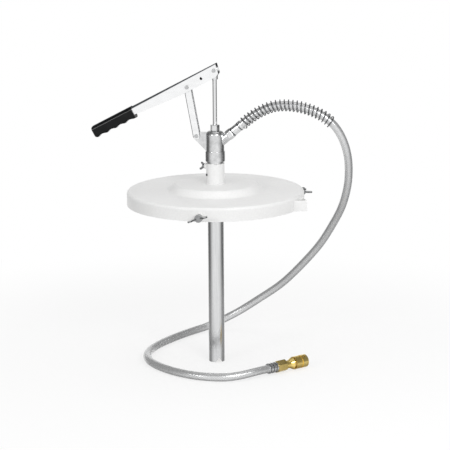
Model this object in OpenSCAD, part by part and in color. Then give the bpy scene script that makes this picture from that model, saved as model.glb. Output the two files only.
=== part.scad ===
// Hand lever transfer pump on a pail lid.
// Millimetres, +Z up. The origin is the centre of the lid's underside, where the pail's rim seats.
// The grip points to -X and the outlet to +X.

/* [Lid] */
// Outer diameter of the lid
lid_d = 330; // [310:1:360]
// Sheet thickness of the lid
lid_t = 1.5; // [1:0.1:2.5]
// Height of the lid from its skirt's edge to its top face
lid_h = 25; // [24:0.5:36]
// Outer radius of the rounded rim
lid_edge_r = 5; // [3:0.5:8]
// Diameter of the raised middle at its top
plateau_top_d = 144; // [120:1:160]
// Diameter of the raised middle at its foot
plateau_foot_d = 184; // [170:1:220]
// Rise of the middle above the rim
plateau_rise = 12.4; // [8:0.2:18]

/* [Collar] */
// Height of the collar above the raised middle
collar_h = 38; // [34:0.5:60]
// Wall of the collar
collar_wall = 1.8; // [1.2:0.1:3]
// Height of the clamp screw above the raised middle
collar_screw_h = 32; // [24:0.5:32]
// Length of the threaded boss on the collar
collar_boss_len = 3; // [3:0.5:12]
// Diameter of the collar's grub screw
grub_d = 4.4; // [2:0.2:5]
// Height of the grub screw above the raised middle
grub_h = 17; // [10:0.5:22]

/* [Wing screws] */
// Shank diameter of the rim screws
rim_screw_d = 8; // [6:0.5:10]
// Tip to tip width of the rim screws' wings
rim_wing_span = 37; // [30:1:44]
// Hub diameter of the rim screws
rim_hub_d = 14; // [12:0.5:18]
// Depth of the rim screws below the seat
rim_screw_drop = 15; // [11:0.5:15]
// Length of the rim screws inside the skirt
rim_tip_len = 5; // [2:0.5:8]
// Length of the threaded bosses on the skirt
rim_boss_len = 6; // [5:0.5:12]
// Shank diameter of the collar screw
collar_screw_d = 6; // [4:0.5:8]
// Tip to tip width of the collar screw's wings
collar_wing_span = 20; // [16:1:30]
// Hub diameter of the collar screw
collar_hub_d = 9; // [8:0.5:12]
// Thickness of the wings
wing_t = 2.6; // [1.6:0.1:4]

/* [Nozzle pocket] */
// Width of the pocket along the rim
pocket_w = 26; // [20:1:30]
// Reach of the pocket out from the skirt
pocket_reach = 14.5; // [11:0.5:20]
// Height of the pocket
pocket_h = 19.5; // [12:0.5:20]
// Wall of the pocket
pocket_wall = 1.5; // [1:0.1:2.5]
// Direction of the pocket about the lid's axis
pocket_angle = -15; // [-20:0.5:0]
// Turn of the pocket's own faces from the X axis
pocket_turn = 20; // [0:1:25]

/* [Suction tube] */
// Outer diameter of the tube
tube_d = 30; // [28:0.5:34]
// Wall of the tube
tube_wall = 1.5; // [1:0.1:2]
// Reach of the tube below the lid's seat
tube_reach = 330; // [300:1:420]
// Width of the notch in the tube's foot
notch_w = 14; // [6:0.5:16]
// Height of the notch in the tube's foot
notch_h = 9.5; // [4:0.5:10]

/* [Pump head] */
// Gap between the collar and the head
head_clear = 4; // [3.8:0.2:10]
// Wall of the head's lower ring outside the tube
head_ring_wall = 3.5; // [2.5:0.1:5]
// Height of the head's lower ring
head_ring_h = 18.5; // [14:0.5:19]
// Wall of the head's body outside the tube
head_body_wall = 2; // [1.6:0.1:3]
// Height of the whole head
head_h = 56.7; // [56:0.1:64]
// Radius of the head's rounded shoulder
head_dome_r = 8; // [5:0.5:8]
// Depth of the tube's socket in the head
tube_socket = 20; // [16:0.5:22]
// Thickness of the ear that carries the link
ear_t = 8; // [6:0.5:10]
// Radius of the ear round the link pin
ear_r = 7; // [5.5:0.5:9]
// Distance of the link pin from the pump's axis
ear_reach = 34; // [31:0.5:38]
// Height of the link pin above the head's base
ear_pin_h = 46.5; // [44:0.5:49]
// Angle of the outlet above level
outlet_angle = 40; // [36:1:44]
// Height of the outlet's axis above the head's base, at the pump's axis
outlet_h = 27; // [26:0.5:28]
// Diameter of the outlet boss
outlet_boss_d = 18; // [16.5:0.5:22]
// Length of the outlet boss from the pump's axis
outlet_reach = 32; // [30:0.5:36]

/* [Packing nut] */
// Width across flats of the packing nut
packing_nut_af = 15; // [14.6:0.1:18]
// Height of the packing nut
packing_nut_h = 11; // [6:0.5:14]

/* [Rod and piston] */
// Diameter of the rod
rod_d = 8; // [7:0.1:9]
// Height of the rod pin above the head's base
rod_pin_h = 169; // [167:0.5:171]
// Width of the rod's head between the lever's cheeks
rod_head_w = 13.6; // [10:0.2:13.8]
// Radius of the rod's head round its pin
rod_head_r = 7; // [6:0.5:10]
// Height of the piston's body
piston_h = 22; // [20:0.5:30]
// Height of the piston's cup seal
cup_h = 8; // [5:0.5:12]
// Height of the nut under the cup seal
piston_nut_h = 6; // [5:0.5:10]
// Diameter of the piston's valve ball
piston_ball_d = 12; // [11:0.2:12.4]
// Lift of the piston's valve ball
piston_lift = 3.5; // [2:0.25:4]

/* [Foot valve] */
// Diameter of the foot valve's ball
foot_ball_d = 18; // [17:0.2:20]
// Diameter of the foot valve's port
foot_port_d = 13; // [10:0.5:14]
// Lift of the foot valve's ball
foot_lift = 4; // [2:0.25:6]
// Height of the foot valve's seat
foot_seat_h = 10; // [6:0.5:14]
// Height of the foot valve above the tube's end
foot_inset = 12; // [12:0.5:20]

/* [Lever] */
// Distance between the rod pin and the fulcrum pin
lever_arm = 59.5; // [58.5:0.1:60.5]
// Distance of the fulcrum pin below the rod pin, square to the lever
fulcrum_drop = 4.5; // [3.5:0.25:6]
// Swing of the lever
lever_swing = 60; // [50:1:62]
// Width of the lever over its cheeks
lever_w = 19.4; // [19.2:0.1:22]
// Thickness of the lever's sheet
lever_t = 2.5; // [2:0.1:2.6]
// Height of the lever's top edge above the rod pin
lever_top = 10; // [8.5:0.25:11]
// Depth of the lever at its pivots
lever_depth = 22.4; // [21:0.2:24]
// Depth of the lever at the grip's mouth
lever_depth_grip = 15; // [13:0.5:16]
// Length of the lever beyond the rod pin
lever_nose = 8.4; // [8:0.2:12]
// Distance of the spare hole from the rod pin
spare_hole_at = 27.7; // [24:0.1:34]
// Diameter of the spare hole
spare_hole_d = 5.4; // [3:0.2:6]
// Distance from the rod pin to the grip's mouth
grip_start = 172; // [160:1:190]
// Distance from the rod pin to where the lever's floor begins
floor_start = 82; // [82:1:120]

/* [Grip] */
// Length of the grip
grip_len = 86; // [80:1:110]
// Depth of the grip
grip_depth = 23.5; // [20:0.5:26]
// Width of the grip
grip_w = 24; // [23.5:0.5:30]
// Corner radius of the grip's section
grip_corner_r = 8; // [4:0.5:9]
// Depth of the finger hollows
finger_depth = 2.6; // [1:0.2:3.4]
// Spacing of the finger hollows
finger_pitch = 19.6; // [18:0.2:20]

/* [Link] */
// Distance between the link's two pins
link_len = 92.5; // [91.5:0.1:94]
// Width of the link's bars
link_w = 12.5; // [11:0.25:14]
// Thickness of each bar
link_t = 2.5; // [2:0.1:2.5]
// Diameter of the lever's pins
pin_d = 6; // [5:0.2:6.6]
// Diameter of the pins' heads
pin_head_d = 7.4; // [7:0.2:11]
// Thickness of the pins' heads
pin_head_t = 2; // [1:0.2:3]

/* [Hose] */
// Outer diameter of the hose
hose_d = 15; // [14:0.5:16]
// Bore of the hose
hose_bore = 9.6; // [9.4:0.1:10.5]
// Wall of the ferrules
ferrule_wall = 1; // [0.8:0.1:2]
// Length of the outlet ferrule
ferrule_len = 24; // [20:0.5:28]
// Wire diameter of the spring guard
guard_wire = 2.1; // [1.6:0.1:2.4]
// Turns of the spring guard
guard_turns = 24; // [18:1:28]
// Length of the spring guard along the hose
guard_len = 184; // [160:1:190]
// Width across flats of the outlet nipple
nipple_af = 17; // [15.5:0.5:20]
// Length of the outlet nipple's hexagon
nipple_hex_len = 10; // [6:0.5:12]

/* [Coupler] */
// Width across flats of the hose end's hexagon
adapter_af = 20; // [18:0.5:22]
// Length of the hose end's hexagon
adapter_len = 20; // [16:0.5:28]
// Diameter of the coupler's neck
neck_d = 15; // [14.2:0.2:17]
// Length of the coupler's neck, with its flare
neck_len = 16.5; // [13:0.5:20]
// Diameter of the coupler's sleeve
sleeve_d = 24; // [23.4:0.2:26]
// Length of the coupler's sleeve
sleeve_len = 27.5; // [27:0.5:36]
// Travel of the coupler's sleeve
sleeve_travel = 3; // [2:0.25:4]
// Diameter of the coupler's socket
socket_d = 12; // [10:0.2:12.2]
// Depth of the coupler's socket
socket_depth = 24; // [20:0.5:24]

/* [Hidden] */
$fn = 64;

// Clearances
fit_gap = 0.05;
slide_gap = 0.2;
side_gap = 0.4;
rest_gap = 0.3;
eps = 0.5;

// Colours
white_paint = "#f1f1ef";
bright_zinc = "#cfd2d6";
cast_grey = "#b4b7ba";
chromed = "#dde0e3";
black_rubber = "#17181a";
brass = "#c9a23c";
clear_hose = "#9aa0a8";
dark_seal = "#2b2b2d";

// Lid and collar
lid_r = lid_d / 2;
skirt_z = lid_t - lid_h;
plateau_z = lid_t + plateau_rise;
flank_steps = 8;
function flank(f, z) = [
    (plateau_foot_d + f * (plateau_top_d - plateau_foot_d)) / 2,
    z + plateau_rise * (1 - cos(180 * f)) / 2
];
tube_r = tube_d / 2;
tube_bore_r = tube_r - tube_wall;
collar_bore_r = tube_r + slide_gap;
collar_r = collar_bore_r + collar_wall;
collar_top = plateau_z + collar_h;
collar_boss_wall = 2.5;
collar_boss_r = collar_screw_d / 2 + collar_boss_wall;
rim_boss_wall = 4;
rim_boss_r = rim_screw_d / 2 + rim_boss_wall;
rim_screw_angles = [-90, 30, 150];
grub_angle = 214;
grub_proud = 1.2;
floor_z = -tube_reach;
notch_angle = -63;

// Wing screws
level_roll = 90;
front_roll = 107;
right_roll = 90;
rim_hub_len = 8;
rim_wing_rise = 10;
collar_hub_len = 4;
collar_wing_rise = 4;
collar_roll = 60;

// Pump head
head_z = collar_top + head_clear;
head_ring_r = tube_r + head_ring_wall;
head_body_r = tube_r + head_body_wall;
head_top = head_z + head_h;
seal_t = 2.5;
seal_width = 3.5;
chamber_r = tube_r - seal_width;
chamber_h = 38;
chamber_top = head_z + chamber_h;
gland_floor = chamber_top + 4;
gland_r = 7;
gland_washer_t = 1.5;
gland_packing_h = 7;
rod_r = rod_d / 2;
rod_hole_r = rod_r + rest_gap;
rod_fit_r = rod_r + fit_gap;
outlet_z = head_z + outlet_h;
outlet_bore_r = 4.5;
nipple_thread_r = 6.7;
nipple_thread_len = 12;
packing_seat = gland_floor + gland_washer_t + gland_packing_h;

// Pivots of the lever and its link, as points in the XZ plane
link_pin_at = [-ear_reach, head_z + ear_pin_h];
rod_pin_at = [0, head_z + rod_pin_h];
pin_span = norm(rod_pin_at - link_pin_at);
span_dir = (rod_pin_at - link_pin_at) / pin_span;
span_side = [-span_dir.y, span_dir.x];
foot_along = (link_len * link_len - lever_arm * lever_arm + pin_span * pin_span) / (2 * pin_span);
foot_off = sqrt(link_len * link_len - foot_along * foot_along);
fulcrum_at = link_pin_at + foot_along * span_dir + foot_off * span_side;

// Angles of the lever and the link at rest and with the grip raised
arm_angle = atan2(rod_pin_at.y - fulcrum_at.y, rod_pin_at.x - fulcrum_at.x);
lever_tilt = arm_angle - asin(fulcrum_drop / lever_arm);
link_tilt = atan2(link_pin_at.x - fulcrum_at.x, fulcrum_at.y - link_pin_at.y);
raised_angle = arm_angle - lever_swing;
raised_dx = link_pin_at.x + lever_arm * cos(raised_angle);
raised_link_tilt = asin(raised_dx / link_len);
raised_fulcrum_z = link_pin_at.y + link_len * cos(raised_link_tilt);
raised_rod_z = raised_fulcrum_z + lever_arm * sin(raised_angle);
stroke = rod_pin_at.y - raised_rod_z;
link_turn = raised_link_tilt - link_tilt;

// The fulcrum pin's path in the link's frame gives the slot in the link's head
function swung_angle(q) = arm_angle - q;
function swung_rod_z(q) = rod_pin_at.y - stroke * q / lever_swing;
function swung_tilt(q) = link_tilt + link_turn * q / lever_swing;
function swung_pin(q) =
    [-lever_arm * cos(swung_angle(q)), swung_rod_z(q) - lever_arm * sin(swung_angle(q))] - link_pin_at;
function pin_in_link(q) =
    let (f = swung_pin(q), t = swung_tilt(q))
    [f.x * cos(t) + f.y * sin(t), f.y * cos(t) - f.x * sin(t) - link_len];
slot_path = [for (i = [0 : 30]) pin_in_link(lever_swing * i / 30)];
slot_left = min([for (p = slot_path) p.x]);
slot_low = min([for (p = slot_path) p.y]);
slot_high = max([for (p = slot_path) p.y]);
slot_len = side_gap - slot_left;
slot_mid = link_len + (slot_low + slot_high) / 2;

// Widths across the lever, from the ear out
pin_r = pin_d / 2;
pin_hole_r = pin_r + fit_gap;
link_in = ear_t / 2 + rest_gap;
link_out = link_in + link_t;
cheek_in = lever_w / 2 - lever_t;
slot_r = pin_r + side_gap + (slot_high - slot_low) / 2;
slot_wall = 2.2;
link_head_r = slot_r + slot_wall;
lever_tail = grip_start + grip_len - 6;
floor_drop = lever_top - lever_depth;
tail_drop = lever_top - lever_depth_grip;
grip_cover = 1.6;
grip_end_r = 5;
tang_top = lever_top - 3;
tang_gap = 0.4;
finger_land = 2;

// Foot valve, from the tube's end up
foot_seat_z = floor_z + foot_inset;
foot_seat_top = foot_seat_z + foot_seat_h;
foot_ball_r = foot_ball_d / 2;
foot_port_r = foot_port_d / 2;
foot_ball_z = foot_seat_top + sqrt(foot_ball_r * foot_ball_r - foot_port_r * foot_port_r) + fit_gap;
foot_guide_r = foot_ball_r + rest_gap;
foot_stop_z = foot_ball_z + foot_ball_r + foot_lift + rest_gap;
foot_stop_t = 3;
foot_top = foot_stop_z + foot_stop_t;
valve_r = tube_bore_r - fit_gap;

// Piston, from its nut up
piston_end_clear = 4;
piston_z = foot_top + piston_end_clear + stroke;
piston_stem_r = 7;
piston_port_r = 4;
piston_ball_r = piston_ball_d / 2;
cup_z = piston_z + piston_nut_h;
piston_body_z = cup_z + cup_h;
piston_ball_z = piston_body_z
    + sqrt(piston_ball_r * piston_ball_r - piston_port_r * piston_port_r) + fit_gap;
piston_guide_r = piston_ball_r + rest_gap;
piston_cage_top = piston_ball_z + piston_ball_r + piston_lift + rest_gap;
piston_top = piston_body_z + piston_h;
rod_foot = piston_top - 4.4;
piston_r = tube_bore_r - 0.9;
cup_r = tube_bore_r - slide_gap;
rod_head_neck = 17;
rod_top = rod_pin_at.y - rod_head_r + 1;

// Hose line from the outlet: positions along the outlet's axis
nipple_start = outlet_reach + fit_gap;
ferrule_start = nipple_start + nipple_hex_len + fit_gap;
ferrule_end = ferrule_start + ferrule_len;
ferrule_base_t = 3;
ferrule_flange_t = 3.5;
ferrule_bore_r = hose_d / 2 + fit_gap;
ferrule_r = ferrule_bore_r + ferrule_wall;
flange_extra = 0.8;
hose_start = ferrule_start + ferrule_base_t + fit_gap;
stem_r = 4.2;
stem_bore_r = 2.8;
stem_len = 20;

// Coupler line on the floor: positions along its axis from the hose's end
coupler_dir = 45;
coupler_floor_gap = 0.3;
coupler_at = [121, -67, floor_z + sleeve_d / 2 + coupler_floor_gap];
end_ferrule_len = 17;
adapter_start = ferrule_base_t + fit_gap;
body_start = adapter_start + adapter_len + fit_gap;
flare_len = 7;
flare_r = 11;
barrel_r = 8.4;
barrel_start = body_start + neck_len;
sleeve_start = barrel_start + sleeve_travel + rest_gap;
barrel_end = sleeve_start + sleeve_len;
socket_floor = barrel_end - socket_depth;
coupler_seal_t = 2;
coupler_seal_r = socket_d / 2 - 0.9;
sleeve_r = sleeve_d / 2;
sleeve_fit_r = barrel_r + slide_gap;
sleeve_cavity_r = 10.3;
spring_wall = 1;
spring_len = 6.5;
ball_at = barrel_end - 8;
lock_ball_r = 1.4;
lock_ball_count = 4;
lock_groove_r = sleeve_fit_r + 0.9;
groove_depth = 1.1;
groove_w = 3;
sleeve_hole_r = 1.8;
sleeve_hole_angle = 65;

// The hose's route, chosen by hand: up out of the outlet, over, down behind the tube and round the floor
function along_outlet(s) = [s * cos(outlet_angle), 0, outlet_z + s * sin(outlet_angle)];
function along_coupler(w) = coupler_at + w * [cos(coupler_dir), sin(coupler_dir), 0];
route = [
    along_outlet(hose_start), along_outlet(ferrule_end), along_outlet(ferrule_end + 15),
    [82, 0, 148.5], [108, 0, 159.5], [134, 0, 162], [160, 0, 159], [184, 0, 151.5], [205, 1, 140],
    [222, 5, 123.5], [234, 12, 102], [242, 22, 75], [244.5, 36, 43], [241, 55, 5], [229, 80, -39],
    [209, 106, -81], [180, 134, -130], [141, 160, -179], [99, 184, -224], [52, 200, -261],
    [11, 207, -290], [-22, 203, -308], [-51, 188, -319], [-74, 163, -322], [-93, 130, -322],
    [-110, 95, -322], [-125, 57, -322], [-133, 20, -322], [-132, -16, -322], [-120, -49, -322],
    [-98, -77, -322], [-70, -100, -322], [-42, -116, -322], [-14, -126, -322], [13, -129, -322],
    [38, -126.5, -322], [60, -118, -320.8], [77, -108, -319],
    along_coupler(-2.5 * end_ferrule_len), along_coupler(-end_ferrule_len), along_coupler(0),
];
hose_sides = 12;
hose_steps = 2;

// A smooth curve through the route's points
last = len(route) - 1;
function route_point(i) =
    i < 0 ? 2 * route[0] - route[1] :
    i > last ? 2 * route[last] - route[last - 1] : route[i];
function bend(a, b, c, d, t) =
    0.5 * (2 * b + (c - a) * t + (2 * a - 5 * b + 4 * c - d) * t * t
        + (3 * b - a - 3 * c + d) * t * t * t);
function route_at(i, t) =
    bend(route_point(i - 1), route_point(i), route_point(i + 1), route_point(i + 2), t);
function unit(v) = v / norm(v);
function curve(first, end, steps) =
    [for (i = [first : end - 1]) for (j = [0 : steps - 1]) route_at(i, j / steps), route_at(end, 0)];
function tangent(path, i) =
    unit(path[min(i + 1, len(path) - 1)] - path[max(i - 1, 0)]);
function path_length(path, i = 1) =
    i >= len(path) ? 0 : norm(path[i] - path[i - 1]) + path_length(path, i + 1);

// A ring of points square to a path, turned towards a side that the path never runs along
function ring(centre, along, side, r, sides) =
    let (n = unit(side - (side * along) * along), b = cross(along, n))
    [for (k = [0 : sides - 1]) centre + r * (cos(360 * k / sides) * n + sin(360 * k / sides) * b)];
function wall_faces(rings, sides, start, inward) = [
    for (i = [0 : rings - 2]) for (k = [0 : sides - 1])
        let (
            a = start + i * sides + k,
            b = start + i * sides + (k + 1) % sides,
            c = b + sides,
            d = a + sides
        )
        each inward ? [[a, b, c], [a, c, d]] : [[a, c, b], [a, d, c]]
];
function cap_faces(sides, start, flip) = [
    for (k = [1 : sides - 2])
        flip ? [start, start + k + 1, start + k] : [start, start + k, start + k + 1]
];
function rim_faces(sides, outer, inner, flip) = [
    for (k = [0 : sides - 1])
        let (
            a = outer + k,
            b = outer + (k + 1) % sides,
            c = inner + (k + 1) % sides,
            d = inner + k
        )
        each flip ? [[a, c, b], [a, d, c]] : [[a, b, c], [a, c, d]]
];

// The spring guard's wire winds round the hose, by length along the route
guard_play = 1.6;
guard_r = hose_d / 2 + guard_wire / 2 + guard_play;
guard_rings = 8;
guard_sides = 6;
guard_line = curve(1, 10, 12);
guard_sums = [
    for (i = 0, s = 0; i < len(guard_line);
        s = s + (i + 1 < len(guard_line) ? norm(guard_line[i + 1] - guard_line[i]) : 0), i = i + 1) s
];
guard_x = [for (i = [0 : len(guard_line) - 1]) [guard_sums[i], guard_line[i].x]];
guard_y = [for (i = [0 : len(guard_line) - 1]) [guard_sums[i], guard_line[i].y]];
guard_z = [for (i = [0 : len(guard_line) - 1]) [guard_sums[i], guard_line[i].z]];
function guard_centre(s) = [lookup(s, guard_x), lookup(s, guard_y), lookup(s, guard_z)];
function guard_along(s) = unit(guard_centre(s + 2) - guard_centre(max(s - 2, 0)));
function guard_out(s, turn) =
    let (t = guard_along(s), n = unit(cross([0, 1, 0], t)), b = cross(t, n))
    cos(turn) * n + sin(turn) * b;
guard_steps = guard_turns * guard_rings;
guard_lead = guard_wire;
guard_first = rest_gap;
guard_stations = [
    for (i = [-1 : guard_steps + 1])
        let (f = min(max(i / guard_steps, 0), 1))
        [
            guard_first + guard_lead + f * (guard_len - 2 * guard_lead)
                + (i < 0 ? -guard_lead : i > guard_steps ? guard_lead : 0),
            360 * guard_turns * f
        ]
];
guard_wire_line = [for (g = guard_stations) guard_centre(g[0]) + guard_r * guard_out(g[0], g[1])];
guard_wire_out = [for (g = guard_stations) guard_out(g[0], g[1])];
guard_gap = min([
    for (i = [0 : guard_steps - guard_rings - 2]) for (j = [i + 5 : min(i + 11, guard_steps)])
        norm(guard_wire_line[i] - guard_wire_line[j])
]) - guard_wire;
echo(guard_gap = guard_gap);
echo(hose_length = path_length(curve(0, last, 8)));
echo(stroke = stroke, link_turn = link_turn, lever_swing = lever_swing);
echo(rod_pin_at = rod_pin_at, link_pin_at = link_pin_at, fulcrum_at = fulcrum_at);
echo(coupler_at = coupler_at, barrel_end = barrel_end, lever_tilt = lever_tilt, slot_len = slot_len);
echo(floor_z = floor_z, piston_z = piston_z, foot_top = foot_top, head_top = head_top);

// Frames that pieces sit in
module on_outlet(s) {
    translate([0, 0, outlet_z]) rotate([0, 90 - outlet_angle, 0]) translate([0, 0, s]) children();
}

module on_coupler(w) {
    translate(coupler_at) rotate([0, 0, coupler_dir]) rotate([0, 90, 0]) translate([0, 0, w]) children();
}

module on_lever() {
    translate([rod_pin_at.x, 0, rod_pin_at.y]) rotate([0, -lever_tilt, 0]) children();
}

module on_link() {
    translate([link_pin_at.x, 0, link_pin_at.y]) rotate([0, -link_tilt, 0]) children();
}

module on_rim(angle) {
    rotate([0, 0, angle]) translate([lid_r, 0, -rim_screw_drop]) rotate([0, 90, 0]) children();
}

module on_collar_side() {
    translate([-collar_r, 0, plateau_z + collar_screw_h]) rotate([0, -90, 0]) children();
}

// Stands a flat shape up in the XZ plane, centred on Y
module across(width) {
    rotate([90, 0, 0]) linear_extrude(width, center = true) children();
}

module tube_between(z0, z1, outer, inner) {
    translate([0, 0, z0]) difference() {
        cylinder(r = outer, h = z1 - z0);
        translate([0, 0, -eps]) cylinder(r = inner, h = z1 - z0 + 2 * eps);
    }
}

module hexagon(af, h) {
    cylinder(r = af / (2 * cos(30)), h = h, $fn = 6);
}

// A pin across the lever with a head at each end
module headed_pin(r, half) {
    rotate([90, 0, 0]) {
        cylinder(r = r, h = 2 * half, center = true);
        for (s = [-1, 1])
            translate([0, 0, s * (half - pin_head_t / 2)])
                cylinder(d = pin_head_d, h = pin_head_t, center = true);
    }
}

// A wing screw along +Z, its hub's underside at z = 0
module wing_screw(shank_r, shank_len, hub_d, hub_len, span, rise) {
    tip_r = rise * 0.42;
    translate([0, 0, -shank_len]) cylinder(r = shank_r, h = shank_len + hub_len / 2);
    cylinder(d = hub_d, h = hub_len);
    for (s = [0, 180])
        rotate([0, 0, s]) rotate([90, 0, 0]) linear_extrude(wing_t, center = true) {
            translate([span / 2 - tip_r, hub_len + rise - tip_r]) circle(r = tip_r);
            polygon([
                [0, 1], [hub_d / 2, 1], [span / 2 - tip_r * 0.3, hub_len + rise - 2 * tip_r],
                [span / 2 - tip_r * 1.9, hub_len + rise - tip_r], [hub_d / 4, hub_len], [0, hub_len],
            ]);
        }
}

// Lid
module lid_section() {
    edge_at = lid_r - lid_edge_r;
    translate([lid_r - lid_t, skirt_z]) square([lid_t, lid_h - lid_edge_r]);
    intersection() {
        translate([edge_at, lid_t - lid_edge_r]) difference() {
            circle(r = lid_edge_r);
            circle(r = lid_edge_r - lid_t);
        }
        translate([edge_at, lid_t - lid_edge_r]) square(lid_edge_r);
    }
    translate([plateau_foot_d / 2, 0]) square([edge_at - plateau_foot_d / 2, lid_t]);
    polygon(concat(
        [for (i = [0 : flank_steps]) flank(i / flank_steps, lid_t)],
        [for (i = [flank_steps : -1 : 0]) flank(i / flank_steps, 0)]
    ));
    translate([collar_bore_r, plateau_rise]) square([plateau_top_d / 2 - collar_bore_r, lid_t]);
}

module lid() {
    color(white_paint) difference() {
        rotate_extrude($fn = 180) lid_section();
        for (a = rim_screw_angles)
            on_rim(a) cylinder(r = rim_screw_d / 2 + fit_gap, h = 4 * lid_t, center = true);
    }
}

module lid_collar() {
    color(white_paint) difference() {
        tube_between(plateau_z, collar_top, collar_r, collar_bore_r);
        on_collar_side() cylinder(r = collar_screw_d / 2 + fit_gap, h = 4 * collar_wall, center = true);
        on_grub() cylinder(d = grub_d, h = 4 * collar_wall, center = true);
    }
}

module on_grub() {
    rotate([0, 0, grub_angle]) translate([collar_r, 0, plateau_z + grub_h]) rotate([0, 90, 0]) children();
}

module grub_screw() {
    color(dark_seal) on_grub() translate([0, 0, -collar_wall]) difference() {
        cylinder(r = grub_d / 2 - fit_gap, h = collar_wall + grub_proud);
        translate([0, 0, collar_wall]) hexagon(grub_d / 2, collar_wall);
    }
}

module collar_boss() {
    color(white_paint) difference() {
        on_collar_side() translate([0, 0, -collar_wall])
            cylinder(r = collar_boss_r, h = collar_boss_len + collar_wall);
        on_collar_side() cylinder(r = collar_screw_d / 2 + fit_gap, h = 4 * collar_boss_len, center = true);
        cylinder(r = collar_r + fit_gap, h = collar_top + eps);
    }
}

module rim_bosses() {
    color(white_paint) for (a = rim_screw_angles)
        difference() {
            on_rim(a) translate([0, 0, -lid_t]) cylinder(r = rim_boss_r, h = rim_boss_len + lid_t);
            on_rim(a) cylinder(r = rim_screw_d / 2 + fit_gap, h = 4 * rim_boss_len, center = true);
            lid_round(lid_r + fit_gap);
        }
}

module on_pocket() {
    rotate([0, 0, pocket_angle]) translate([lid_r, 0, skirt_z])
        rotate([0, 0, pocket_turn - pocket_angle]) children();
}

module lid_round(r) {
    translate([0, 0, skirt_z - eps]) cylinder(r = r, h = lid_h + 2 * eps, $fn = 180);
}

module nozzle_pocket() {
    back = pocket_w / 2;
    color(white_paint) difference() {
        on_pocket() translate([-back, -pocket_w / 2, 0]) cube([back + pocket_reach, pocket_w, pocket_h]);
        difference() {
            on_pocket() translate([-back, pocket_wall - pocket_w / 2, pocket_wall])
                cube([back + pocket_reach - pocket_wall, pocket_w - 2 * pocket_wall, pocket_h]);
            lid_round(lid_r + pocket_wall);
        }
        lid_round(lid_r + fit_gap);
    }
}

// Wing screws
module rim_screw(i, roll) {
    reach = rim_boss_len + rest_gap;
    color(bright_zinc) on_rim(rim_screw_angles[i]) translate([0, 0, reach]) rotate([0, 0, roll])
        wing_screw(rim_screw_d / 2, reach + lid_t + rim_tip_len, rim_hub_d, rim_hub_len,
            rim_wing_span, rim_wing_rise);
}

module rim_screw_front() {
    rim_screw(0, front_roll);
}

module rim_screw_right() {
    rim_screw(1, right_roll);
}

module rim_screw_left() {
    rim_screw(2, level_roll);
}

module collar_screw() {
    reach = collar_boss_len + rest_gap;
    color(bright_zinc) on_collar_side() translate([0, 0, reach]) rotate([0, 0, collar_roll])
        wing_screw(collar_screw_d / 2, reach + collar_wall + slide_gap - rest_gap / 2, collar_hub_d,
            collar_hub_len, collar_wing_span, collar_wing_rise);
}

// Tube and foot valve
module suction_tube() {
    color(chromed) tube_between(foot_seat_z, head_z + tube_socket, tube_r, tube_bore_r);
}

module tube_foot() {
    color(chromed) difference() {
        tube_between(floor_z, foot_seat_z, tube_r, tube_bore_r);
        rotate([0, 0, notch_angle]) translate([0, 0, floor_z]) rotate([90, 0, 90])
            linear_extrude(tube_d) polygon([[-notch_w / 2, -eps], [notch_w / 2, -eps], [0, notch_h]]);
    }
}

module foot_valve_seat() {
    color(brass) tube_between(foot_seat_z, foot_seat_top, valve_r, foot_port_r);
}

module foot_valve_cage() {
    window_w = 8;
    window_h = foot_stop_z - foot_seat_top - 6;
    color(brass) {
        difference() {
            tube_between(foot_seat_top, foot_top, valve_r, foot_guide_r);
            for (a = [0, 120, 240])
                rotate([0, 0, a]) translate([0, -window_w / 2, foot_seat_top + 3])
                    cube([tube_d, window_w, window_h]);
        }
        intersection() {
            translate([-valve_r, -2, foot_stop_z]) cube([2 * valve_r, 4, foot_stop_t]);
            translate([0, 0, foot_stop_z]) cylinder(r = foot_guide_r + eps, h = foot_stop_t);
        }
    }
}

module foot_valve_ball() {
    color(chromed) translate([0, 0, foot_ball_z]) sphere(r = foot_ball_r);
}

// Pump head
module ear_outline() {
    hook = [cos(220), sin(220)];
    low = [-head_body_r + 1, head_z + head_ring_h];
    translate(link_pin_at) circle(r = ear_r);
    polygon([
        link_pin_at + [0, ear_r], [-chamber_r, link_pin_at.y + ear_r],
        [-chamber_r, low.y], low, link_pin_at + ear_r * hook,
    ]);
}

module head_outside() {
    shoulder = head_body_r - head_dome_r;
    translate([0, 0, head_z]) cylinder(r = head_ring_r, h = head_ring_h);
    translate([0, 0, head_z]) cylinder(r = head_body_r, h = head_h - head_dome_r);
    translate([0, 0, head_top - head_dome_r]) rotate_extrude() {
        square([shoulder, head_dome_r]);
        intersection() {
            translate([shoulder, 0]) circle(r = head_dome_r);
            square([head_body_r, head_dome_r]);
        }
    }
    across(ear_t) ear_outline();
    on_outlet(0) cylinder(d = outlet_boss_d, h = outlet_reach);
}

module pump_head() {
    color(cast_grey) difference() {
        head_outside();
        translate([0, 0, head_z - eps]) cylinder(r = tube_r + fit_gap, h = tube_socket + seal_t + eps);
        translate([0, 0, head_z]) cylinder(r = chamber_r, h = chamber_top - head_z);
        cylinder(r = rod_hole_r, h = head_top);
        translate([0, 0, gland_floor]) cylinder(r = gland_r, h = head_h);
        on_outlet(0) cylinder(r = outlet_bore_r, h = outlet_reach + eps);
        on_outlet(outlet_reach - nipple_thread_len)
            cylinder(r = nipple_thread_r, h = nipple_thread_len + eps);
        translate([link_pin_at.x, 0, link_pin_at.y]) rotate([90, 0, 0])
            cylinder(r = pin_hole_r, h = 2 * ear_t, center = true);
    }
}

module tube_seal() {
    seal_z = head_z + tube_socket;
    color(dark_seal) tube_between(seal_z, seal_z + seal_t - fit_gap, tube_r, chamber_r);
}

module gland_washer() {
    color(brass) tube_between(gland_floor, gland_floor + gland_washer_t, gland_r - fit_gap, rod_fit_r);
}

module gland_packing() {
    color(dark_seal) tube_between(gland_floor + gland_washer_t, packing_seat, gland_r - fit_gap, rod_fit_r);
}

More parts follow.
